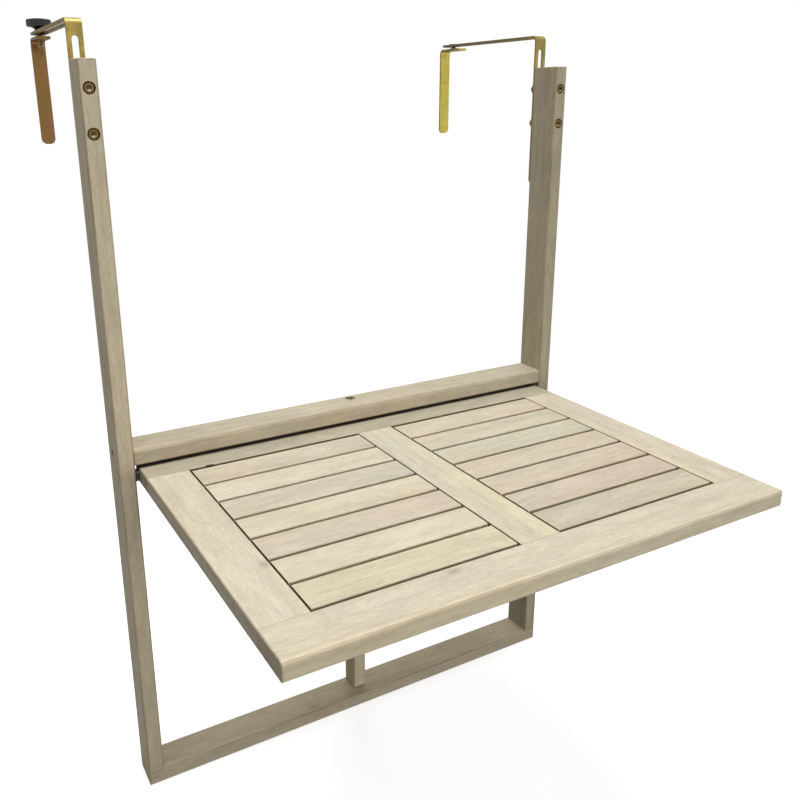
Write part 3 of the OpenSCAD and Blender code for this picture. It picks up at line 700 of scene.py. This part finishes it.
# The top's border: two rails across the whole width, front and rear, and two stiles and a middle rail
# tenoned into them. All are 18 mm thick with eased outer edges, and grooved inside for the slats.
IN_FROM_EDGE = 15 * MM
top_corner, top_far_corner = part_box("top_front_rail")[0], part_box("top_rear_rail")[1]
gap_faces = (
    (top_corner.x + IN_FROM_EDGE, top_corner.y + IN_FROM_EDGE),
    (top_far_corner.x - IN_FROM_EDGE, top_far_corner.y - IN_FROM_EDGE),
)
for node, along, seed, tone, look in (
    ("top_front_rail", X, 0.13, (-0.05, 0.22, 0.12),
     {"knot": (-0.101, 0.0165, 0.009), "sap": (-0.0195, -1.0, 0.30)}),
    # the rear rail's lower lightness is painted shade from the cross rail, and its strip under the cross
    # rail is painted dark brown as painted shade
    ("top_rear_rail", X, 0.71, (-0.27, 0.15, 0.50),
     {"tint": (0.98, 0.98, 0.96), "pinhole": (-0.2085, -0.0232, 0.009),
      "hidden": ((0, cross_low.y + 2 * MM, 0), BACK)}),
    ("top_left_stile", Y, 0.47, (-0.02, 0.15, 0.35), {"knot": (-0.069, 0.019, 0.009)}),
    ("top_right_stile", Y, 0.91, (-0.04, 0.30, 0.35), {"sap": (-0.0125, -1.0, 0.45)}),
    ("top_mullion", Y, 0.29, (-0.05, 0.20, 0.35), {"sap": (0.0060, 1.0, 0.40)}),
):
    planed_board(node, along, seed, "tabletop", "top_wood", tone=tone, panels=gap_faces, **look)


# The slats: seven thin boards in each panel, 4 mm apart, with eased edges and a tongue at each end that
# floats in the grooves of the border, so that they can swell. Each is cut from another plank. The slats'
# ends and the border's faces in the gaps are painted dark brown as painted shade.
TONGUE_SHOULDERS = 6.0 * MM


def slat_tree():
    """Geometry Nodes: a row of slats with tongues, each with a seed of its own."""
    tree, into = new_group("slat panel", [
        ("Slat count", "Int"), ("Plank seed", "Int"), ("First slat", "Vector"),
        *((label, "Float") for label in ("Slat length", "Slat width", "Slat thickness", "Slat pitch",
                                         "Edge radius", "Tongue length", "Tongue thickness", "Tongue drop")),
    ])

    def combine(x=0.0, y=0.0, z=0.0):
        return node_value(tree, "ShaderNodeCombineXYZ", {0: x, 1: y, 2: z})

    def beyond(value, limit):
        return number(tree, "GREATER_THAN", number(tree, "ABSOLUTE", value), limit)

    # section of a slat, swept along its length, with rings close enough to bow a little
    half = number(tree, "MULTIPLY", into["Slat length"], 0.5)
    path = node_value(tree, "GeometryNodeCurvePrimitiveLine",
                      {"Start": combine(number(tree, "MULTIPLY", half, -1.0)), "End": combine(half)})
    path = node_value(tree, "GeometryNodeResampleCurve", {"Curve": path, "Count": 24}, mode="COUNT")
    section = node_value(tree, "GeometryNodeCurvePrimitiveQuadrilateral",
                         {"Width": into["Slat width"], "Height": into["Slat thickness"]}, mode="RECTANGLE")
    section = node_value(tree, "GeometryNodeFilletCurve",
                         {"Curve": section, "Count": 4, "Radius": into["Edge radius"]}, mode="POLY")
    board = node_value(tree, "GeometryNodeCurveToMesh",
                       {"Curve": path, "Profile Curve": section, "Fill Caps": True})
    board_mid = combine(0.0, 0.0, number(tree, "MULTIPLY", into["Slat thickness"], -0.5))
    board = node_value(tree, "GeometryNodeTransform", {"Geometry": board, "Translation": board_mid})
    tongue_long = number(tree, "MULTIPLY_ADD", into["Tongue length"], 2.0, into["Slat length"])
    tongue_wide = number(tree, "SUBTRACT", into["Slat width"], TONGUE_SHOULDERS)
    tongue = node_value(tree, "GeometryNodeMeshCube",
                        {"Size": combine(tongue_long, tongue_wide, into["Tongue thickness"])})
    tongue_mid = number(tree, "MULTIPLY_ADD", into["Tongue thickness"], -0.5,
                        number(tree, "MULTIPLY", into["Tongue drop"], -1.0))
    tongue = node_value(tree, "GeometryNodeTransform",
                        {"Geometry": tongue, "Translation": combine(0.0, 0.0, tongue_mid)})
    whole = add_node(tree, "GeometryNodeJoinGeometry", {0: tongue})
    feed(tree, whole.inputs[0], board)
    position = node_value(tree, "GeometryNodeInputPosition")

    shape = stored(tree, whole.outputs[0], "grain", "FLOAT_VECTOR", "POINT", position)
    lengthways, across, upwards = axes_of(tree, node_value(tree, "GeometryNodeInputNormal"))
    at_end = beyond(lengthways, 0.9)
    shape = stored(tree, shape, "end", "FLOAT", "FACE", at_end)
    # painted shade on the slats' rounded edges, on their long sides in the gaps and on their ends in the
    # grooves
    slanted = number(tree, "MULTIPLY", beyond(across, 0.4), beyond(upwards, 0.4))
    shape = stored(tree, shape, "edge", "FLOAT", "FACE", number(tree, "MULTIPLY", slanted, 0.35))
    bare = number(tree, "MAXIMUM", number(tree, "MULTIPLY", beyond(across, 0.75), 0.02),
                  number(tree, "MULTIPLY", at_end, 0.9))
    shape = stored(tree, shape, "bare", "FLOAT", "FACE", bare)

    step = combine(0.0, number(tree, "MULTIPLY", into["Slat pitch"], -1.0))
    row = node_value(tree, "GeometryNodeMeshLine",
                     {"Count": into["Slat count"], "Start Location": into["First slat"], "Offset": step},
                     mode="OFFSET")
    slats = node_value(tree, "GeometryNodeInstanceOnPoints", {"Points": row, "Instance": shape})
    seed = chance(tree, 0.0, 3.0, into["Plank seed"])
    slats = stored(tree, slats, "seed", "FLOAT", "INSTANCE", seed)
    for label, value in (("tone", (0, 0, 0)), ("tint", NO_TINT), ("knot", FAR_OFF), ("pinhole", FAR_OFF),
                         ("sap", NO_SAP)):
        slats = stored(tree, slats, label, "FLOAT_VECTOR", "INSTANCE", value)
    real = node_value(tree, "GeometryNodeRealizeInstances", {"Geometry": slats})
    ripple = add_node(tree, "ShaderNodeTexNoise", {"Vector": position, "Scale": 22.0, "Detail": 1.0})
    bow = vector(tree, "MULTIPLY", vector(tree, "SUBTRACT", ripple.outputs["Color"], (0.5, 0.5, 0.5)),
                 (0.0, 0.25 * MM, 0.2 * MM))
    bowed = node_value(tree, "GeometryNodeSetPosition", {"Geometry": real, "Offset": bow})
    end_group(tree, bowed, acacia)
    return tree


slat_nodes = slat_tree()
SLATS = 7
TONGUE = 10 * MM
# each plank's lightness, share of rosy and of grey patches, and its tint, from the rear to the front
planks = {
    "left": [
        ((-0.09, 0.40, 0.55), (1.00, 0.99, 0.98)), ((-0.02, 0.25, 0.25), (1.00, 1.00, 1.00)),
        ((-0.08, 0.20, 0.75), (1.00, 0.99, 1.01)), ((-0.02, 0.20, 0.30), (1.00, 0.99, 0.97)),
        ((-0.07, 0.40, 0.60), (1.00, 0.985, 0.99)), ((0.00, 0.20, 0.20), (1.00, 1.00, 0.98)),
        ((-0.03, 0.15, 0.25), (1.00, 1.00, 0.96)),
    ],
    "right": [
        ((-0.06, 0.50, 0.35), (1.00, 0.98, 0.97)), ((-0.05, 0.20, 0.65), (1.00, 0.99, 0.97)),
        ((-0.06, 0.10, 0.55), (0.99, 1.00, 0.97)), ((-0.05, 0.30, 0.35), (1.00, 0.99, 0.97)),
        ((-0.06, 0.60, 0.30), (1.00, 0.98, 0.98)), ((-0.09, 0.50, 0.55), (1.00, 0.98, 0.99)),
        ((-0.10, 0.20, 0.70), (1.00, 0.99, 0.98)),
    ],
}
for side, plank_seed in (("left", 11), ("right", 27)):
    first_low, first_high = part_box(side + "_slat_1")
    last_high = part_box(f"{side}_slat_{SLATS}")[1]
    panel = new_piece(side + "_panel_slats", bpy.data.meshes.new(side + "_panel_slats"), acacia)
    modifier = panel.modifiers.new("slats", "NODES")
    modifier.node_group = slat_nodes
    set_inputs(modifier, {
        "Slat count": SLATS,
        "Slat length": first_high.x - first_low.x - 2 * TONGUE,
        "Slat width": first_high.y - first_low.y,
        "Slat thickness": first_high.z - first_low.z,
        "Slat pitch": (first_high.y - last_high.y) / (SLATS - 1),
        "Edge radius": 1.3 * MM,
        "Tongue length": TONGUE,
        "Tongue thickness": 5.0 * MM,
        "Tongue drop": 4.0 * MM,
        "First slat": (*middle_of(side + "_slat_1")[:Z], first_high.z),
        "Plank seed": plank_seed,
    })
    plain_mesh(panel)
    for label, part in (("tone", 0), ("tint", 1)):
        values = panel.data.attributes[label].data
        each = len(values) // SLATS
        values.foreach_set("vector", [v for plank in planks[side] for v in plank[part] * each])
    fitted(panel, [f"{side}_slat_{i}" for i in range(1, SLATS + 1)], "tabletop")


# The top's hinge: a bright steel pin each side, pressed into the rear rail's end and turning in the
# upright, with a moulded black nylon spacer on it that keeps the two apart.
bright_steel = plain_finish("bright steel", (176, 176, 178), (204, 204, 206), (40.0, 1600.0, 1600.0),
                            3.0, 0.6, (0.2, 0.8, 0.22, 0.40), metallic=1.0)
finished("hinge_pins", bright_steel)
finished("hinge_spacers", plain_finish("black nylon", (28, 28, 29), (42, 42, 43), (300.0, 300.0, 300.0),
                                       2.0, 0.5, (0.3, 0.7, 0.40, 0.52)))


# The swing bracket: a post that turns between the rails, an arm under the top and a diagonal brace,
# cut from the same stock as the frame. The arm is tenoned into the post, the brace is screwed on.
planed_board("bracket_post", Z, 0.66, "swing_bracket", "frame_wood", tone=(0.12, 0.20, 0.20),
             tint=FRAME_TINT)
planed_board("bracket_arm", Y, 0.42, "swing_bracket", "frame_wood", tone=(-0.04, 0.25, 0.20),
             tint=FRAME_TINT)


# The brace: the same stock, cut at 45 degrees at both ends and screwed to the arm and the post. Its
# grain runs along it, so it is marked on the mesh while that is turned level.
brace = copied_solid("bracket_brace", "bracket_brace_board", acacia, PLANED_ROUND)
slant = Matrix.Rotation(math.radians(45), 4, "X")
brace.data.transform(slant)
mark_grain(brace, Y, 0.95, tone=(-0.05, 0.2, 0.25), tint=FRAME_TINT)
brace.data.transform(slant.inverted())
fitted(brace, ["bracket_brace"], "swing_bracket")


# The pivot bolts: the same sunk socket bolts, run through the rails and screwed into brass inserts
# in the ends of the post. A thrust washer lies at each end.
PIVOT_THREAD = 12 * MM
pivot_y = middle_of("bracket_pivot_bolts")[Y]
for label, height, facing, in_post, nodes in (
    ("upper", cross_high.z - head_seat, UP, 13 * MM, ["bracket_pivot_bolts"]),
    ("lower", rail_low.z + head_seat, DOWN, 13.5 * MM, []),
):
    fasteners(label + "_pivot_bolt", socket_bolt(BOARD_T - head_seat + in_post, PIVOT_THREAD),
              [((0, pivot_y, height), facing)], "swing_bracket", nodes, roll_seed=5)

brass = plain_finish("turned brass", (196, 160, 86), (214, 182, 110), (200.0, 200.0, 2500.0), 2.0, 0.6,
                     (0.2, 0.8, 0.24, 0.38), metallic=1.0)
finished("bracket_inserts", brass)
finished("bracket_washers", bright_steel)
finished("bracket_screws", bolt_zinc)


# The two hooks: 16 x 3 mm flat bar, punched with two long slots and bent to a right angle, then zinc
# plated and passivated yellow. One leg is clamped behind the upright, the level leg lies on the railing.
HOOK_TINTS = (184, 154, 84), (144, 136, 74), (174, 132, 96), (130, 98, 52)
PUNCHED_ROUND = 0.4 * MM


def bent_bar(node, film, body):
    """A hook or a jaw of flat bar, whose narrow sides and undersides are painted darker as painted shade."""
    bar = copied_solid(node, node + "_bar", film, PUNCHED_ROUND)
    sides = [1.0 if abs(face.normal.x) > 0.6 or face.normal.z < -0.8 else 0.0 for face in bar.data.polygons]
    bar.data.attributes.new("bar_side_shade", "FLOAT", "FACE").data.foreach_set("value", sides)
    fitted(bar, [node], body)


# the right hook's level leg is painted darker as painted shade, with a lighter painted shade on its narrow
# sides and underside
for side, painted_leg_shade in (("left", None), ("right", (128, 108, 74))):
    film = passivated_steel(f"zinc on the {side} hook", HOOK_TINTS, 0.40, painted_leg_shade)
    bent_bar(side + "_hook", film, "hook_" + side)


# The hook bolts: two of the same steel bolts through each upright and the hook's slot, with a punched
# washer and a hexagon nut behind the bar. Slackened, they let the hook be set higher or lower.
HOOK_BOLT_THREAD = 18 * MM
WASHER_R, WASHER_HOLE_R, WASHER_T = 6.0 * MM, 3.15 * MM, 1.6 * MM
NUT_WIDE, NUT_T = 10 * MM, 5 * MM
bolts_low, bolts_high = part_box("hook_bolts")
hook_bolt_seat = bolts_low.y + HEAD_T
washer_low, washer_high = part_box("hook_washers")
hook_points = [(side * upright_x, height) for side in (-1, 1)
               for height in (washer_low.z + WASHER_R, washer_high.z - WASHER_R)]
fasteners("hook_bolts_zinc", socket_bolt(bolts_high.y - hook_bolt_seat, HOOK_BOLT_THREAD),
          [((x, hook_bolt_seat, z), FRONT) for x, z in hook_points], "frame", ["hook_bolts"], roll_seed=9)


def punched_washer(outer, inner, thickness):
    """Washer on z = 0 with the rounded upper rim and the sharp lower rim that punching leaves."""
    soft = 0.25 * MM
    return turned([(inner, 0), (outer, 0), (outer, thickness - soft), (outer - soft, thickness),
                   (inner + soft * 0.5, thickness), (inner, thickness - soft * 0.5)], 40, close=True)


def hexagon_nut(across_flats, height, bore):
    """Nut on z = 0, chamfered at both faces as if turned from hexagon bar."""
    corner = across_flats / math.sqrt(3)
    flat = across_flats / 2
    drop = (corner - flat) * 0.55
    lens = turned([(0, 0), (flat * 0.98, 0), (corner, drop), (corner, height - drop),
                   (flat * 0.98, height), (0, height)], 48)
    lens = cut_by(lens, six_sided(across_flats, -1 * MM, height + 1 * MM), "INTERSECT")
    wide, narrow = bore + 0.35 * MM, bore - 0.25 * MM
    hole = turned([(0, -1 * MM), (bore + 1 * MM, -1 * MM), (wide, 0), (narrow, 0.6 * MM),
                   (narrow, height - 0.6 * MM), (wide, height), (bore + 1 * MM, height + 1 * MM),
                   (0, height + 1 * MM)], 24)
    return cut_by(lens, hole)


# seated faces that slide on each other keep this gap, so that they never lie in one plane
SEAT_GAP = 0.03 * MM
fasteners("hook_washers_zinc", punched_washer(WASHER_R, WASHER_HOLE_R, WASHER_T - SEAT_GAP),
          [((x, washer_low.y + SEAT_GAP, z), BACK) for x, z in hook_points],
          "frame", ["hook_washers"], roll_seed=2)
fasteners("hook_nuts_zinc", hexagon_nut(NUT_WIDE, NUT_T, SHANK_R),
          [((x, washer_high.y, z), BACK) for x, z in hook_points], "frame", ["hook_nuts"], roll_seed=4)


# The jaws: short angles of the same bar with rounded ends, which slide under the hooks and close
# behind the railing. The film on the left one came out brown, on the right one greenish yellow.
for side, tints in (
    ("left", ((142, 103, 64), (133, 107, 57), (146, 96, 76), (112, 83, 57))),
    ("right", ((206, 190, 84), (192, 184, 86), (192, 164, 80), (166, 148, 60))),
):
    bent_bar(side + "_jaw", passivated_steel(f"zinc on the {side} jaw", tints), "jaw_" + side)


# The left clamp: a black knob moulded round a threaded stud, which runs through the hook's slot into the
# jaw's tapped hole. A punched washer lies under the knob, and the clamp hangs loose, as in the photograph.
clamp_low, clamp_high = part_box("left_clamp_bolt")
clamp_x, clamp_y = middle_of("left_clamp_bolt")[:Z]
fasteners("left_clamp_bolt_zinc", threaded_shank(0.0, clamp_high.z - clamp_low.z),
          [((clamp_x, clamp_y, clamp_low.z), UP)], "knob_left", ["left_clamp_bolt"])


def clamp_washer(node, body):
    """The washer that a clamp turns on, in its node's place."""
    low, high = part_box(node)
    ring = punched_washer((high.y - low.y) / 2, 3.2 * MM, high.z - low.z - SEAT_GAP)
    fasteners(node + "_zinc", ring, [((*middle_of(node)[:Z], low.z + SEAT_GAP), UP)], body, [node])


clamp_washer("left_clamp_washer", "clamp_left")

knob_black, tree, surface = new_material("moulded black plastic")
where = object_place(tree)
spark = cloud(tree, where, (2600.0, 2600.0, 2600.0))
scuffs = cloud(tree, where, (160.0, 240.0, 200.0), 3.0, 0.6)
plug(tree, surface, {
    "Base Color": mixed(tree, ramp(tree, scuffs, 0.45, 0.75), srgb(15, 16, 18), srgb(28, 29, 32)),
    "Roughness": ramp(tree, scuffs, 0.3, 0.7, 0.40, 0.56),
    "Normal": bumped(tree, spark, 0.18, 0.12 * MM),
})

knob_low, knob_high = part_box("left_knob")
KNOB_R = clamp_x - knob_low.x
KNOB_H = knob_high.z - knob_low.z
GRIPS, GRIP_DEPTH = 10, 1.1 * MM
knob_rings = (
    # radius share, height share, how far the finger grips reach here
    (0.00, 0.000, 0.0), (0.345, 0.000, 0.0), (0.368, 0.012, 0.0), (0.372, 0.060, 0.0), (0.395, 0.115, 0.0),
    (0.450, 0.170, 0.02), (0.550, 0.222, 0.10), (0.690, 0.268, 0.30), (0.840, 0.302, 0.70),
    (0.950, 0.321, 1.0), (0.988, 0.331, 1.0), (1.000, 0.350, 1.0), (1.000, 0.600, 1.0), (1.000, 0.848, 1.0),
    (0.992, 0.868, 0.95), (0.968, 0.884, 0.80), (0.900, 0.902, 0.40), (0.720, 0.938, 0.10),
    (0.480, 0.974, 0.0), (0.220, 0.995, 0.0), (0.00, 1.000, 0.0),
)


def finger_grip(angle):
    """Share of a grip's depth at an angle round the knob."""
    return (0.5 - 0.5 * math.cos(GRIPS * angle)) ** 1.6


knob_mesh = turned([(KNOB_R * share, knob_low.z + KNOB_H * height, grip * GRIP_DEPTH)
                    for share, height, grip in knob_rings], 96, at=(clamp_x, clamp_y), grip=finger_grip)
knob = new_piece("left_knob_grip", knob_mesh, knob_black)
fitted(knob, ["left_knob"], "knob_left", sharp=60)


# The right clamp: a thin flat head with a hexagon socket on the hook, its shank through the slot into
# a round nut pressed flush in the jaw. A loose washer lies on the jaw's level leg.
bolt_low, bolt_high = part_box("right_clamp_bolt")
leg_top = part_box("right_hook")[1].z
right_x = middle_of("right_clamp_bolt")[X]
flat_t = bolt_high.z - leg_top
flat_head = turned([(0, SEAT_GAP), (6.3 * MM, SEAT_GAP), (6.5 * MM, flat_t * 0.3), (6.4 * MM, flat_t * 0.7),
                    (5.9 * MM, flat_t), (0, flat_t)], 40)
flat_head = cut_by(flat_head, six_sided(4.0 * MM, flat_t * 0.35, flat_t + 1 * MM))
rod = threaded_shank(bolt_low.z - leg_top, 0.2 * MM)
fasteners("right_clamp_bolt_zinc", joined([flat_head, rod]), [((right_x, clamp_y, leg_top), UP)],
          "jaw_right", ["right_clamp_bolt"])
clamp_washer("right_clamp_washer", "jaw_right")
nut_low, nut_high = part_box("right_clamp_nut")
ring_r, ring_t = (nut_high.y - nut_low.y) / 2, nut_high.z - nut_low.z
soft = 0.25 * MM
ring = turned([(SHANK_R, soft), (SHANK_R + soft, 0), (ring_r - soft, 0), (ring_r, soft),
               (ring_r, ring_t - soft), (ring_r - soft, ring_t), (SHANK_R + soft, ring_t),
               (SHANK_R, ring_t - soft)], 40, close=True)
fasteners("right_clamp_nut_zinc", ring, [((right_x, clamp_y, nut_low.z), UP)],
          "jaw_right", ["right_clamp_nut"], roll_seed=6)


# The studio: a white floor under the frame's foot and a white surround. A broad lamp hangs overhead,
# weaker ones stand at the left, low in front and behind at the right, and the sky is brighter above.
def looked_at(tree):
    """1 for rays from the camera, in mirrors and through glass, 0 for rays that carry light."""
    rays = add_node(tree, "ShaderNodeLightPath").outputs
    indirect = number(tree, "MAXIMUM", rays["Is Glossy Ray"], rays["Is Transmission Ray"])
    return number(tree, "MAXIMUM", rays["Is Camera Ray"], indirect)


def blended(tree, factor, first, second):
    """Shader between two others."""
    return node_value(tree, "ShaderNodeMixShader", {0: factor, 1: first, 2: second})


WHITE = (1.0, 1.0, 1.0, 1.0)
FLOOR_REACH = 12.0
floor_level = cad_low.z - 0.2 * MM
floor_mesh = bpy.data.meshes.new("floor")
floor_mesh.from_pydata([(x * FLOOR_REACH, y * FLOOR_REACH, floor_level)
                        for x, y in ((-1, -1), (1, -1), (1, 1), (-1, 1))], [], [(0, 1, 2, 3)])
floor_white = bpy.data.materials.new("floor white")
tree = emptied_tree(floor_white)
away = vector(tree, "LENGTH", vector(tree, "MULTIPLY", object_place(tree), (1.0, 1.0, 0.0)))
open_floor = ramp(tree, away, 0.75, 1.9)
glow = node_value(tree, "ShaderNodeEmission", {"Color": WHITE, "Strength": 0.74})
paper = node_value(tree, "ShaderNodeBsdfDiffuse", {"Color": (0.62, 0.62, 0.62, 1.0)})
lit = node_value(tree, "ShaderNodeAddShader", {0: glow, 1: paper})
blank = node_value(tree, "ShaderNodeEmission", {"Color": WHITE, "Strength": 1.0})
dim_paper = node_value(tree, "ShaderNodeBsdfDiffuse", {"Color": (0.11, 0.105, 0.095, 1.0)})
chosen = blended(tree, looked_at(tree), dim_paper, blended(tree, open_floor, lit, blank))
add_node(tree, "ShaderNodeOutputMaterial", {"Surface": chosen})
new_piece("floor", floor_mesh, floor_white)

world = bpy.data.worlds.new("studio")
bpy.context.scene.world = world
tree = emptied_tree(world)
toward = axes_of(tree, add_node(tree, "ShaderNodeTexCoord").outputs["Generated"])
from_above = ramp(tree, toward[2], 0.0, 1.0, 0.05, 0.26, smooth=False)
sky = node_value(tree, "ShaderNodeBackground", {"Color": (1.0, 0.975, 0.92, 1.0), "Strength": from_above})
white = node_value(tree, "ShaderNodeBackground", {"Color": WHITE, "Strength": 1.0})
add_node(tree, "ShaderNodeOutputWorld", {"Surface": blended(tree, looked_at(tree), sky, white)})


def softbox(name, spot, aim, size, power, in_reflections=False):
    """Square lamp at a spot, facing the aim."""
    lamp = bpy.data.lights.new(name, "AREA")
    lamp.shape = "SQUARE"
    lamp.size = size
    lamp.energy = power
    obj = bpy.data.objects.new(name, lamp)
    facing = (Vector(spot) - Vector(aim)).to_track_quat("Z", "Y").to_matrix().to_4x4()
    obj.matrix_world = Matrix.Translation(spot) @ facing
    obj.visible_camera = False
    obj.visible_glossy = in_reflections
    bpy.context.scene.collection.objects.link(obj)


softbox("key", (0.20, -0.30, 2.50), (0.0, -0.20, -0.45), 1.5, 57, in_reflections=True)
softbox("side", (-1.0, -0.3, 1.15), (-0.30, 0.0, 0.1), 0.7, 7)
softbox("low front", (0.0, -2.1, -0.25), (0.0, 0.0, -0.45), 0.8, 16.5)
softbox("rear right", (0.7, 1.6, 1.20), (0.15, 0.0, -0.85), 0.8, 9)


# The camera: it stands before the left-hand upright, as high as the hooks, and looks down on the top. Its
# focal length and the centre of its picture, in pixels, come from the photograph's edges and corners.
FOCAL_PX, CENTRE_X, CENTRE_Y, PICTURE = 840.52, 369.50, 360.70, 800
SENSOR = 36.0
camera_data = bpy.data.cameras.new("camera")
camera_data.sensor_width = SENSOR
camera_data.lens = FOCAL_PX / PICTURE * SENSOR
camera_data.shift_x = (PICTURE / 2 - CENTRE_X) / PICTURE
camera_data.shift_y = (CENTRE_Y - PICTURE / 2) / PICTURE
camera_data.clip_end = 100
camera = bpy.data.objects.new("camera", camera_data)
to_right = Vector((0.871455, -0.490437, -0.006102))
to_front = Vector((0.467179, 0.833788, -0.294179))
to_top = to_right.cross(to_front)
turn = Matrix((to_right, to_top, -to_front)).transposed().to_4x4()
stand = (-0.46987, -0.89955, cad_low.z + 0.79880)
camera.matrix_world = Matrix.Translation(stand) @ turn
bpy.context.scene.collection.objects.link(camera)
bpy.context.scene.camera = camera
bpy.context.scene.view_settings.view_transform = "Standard"
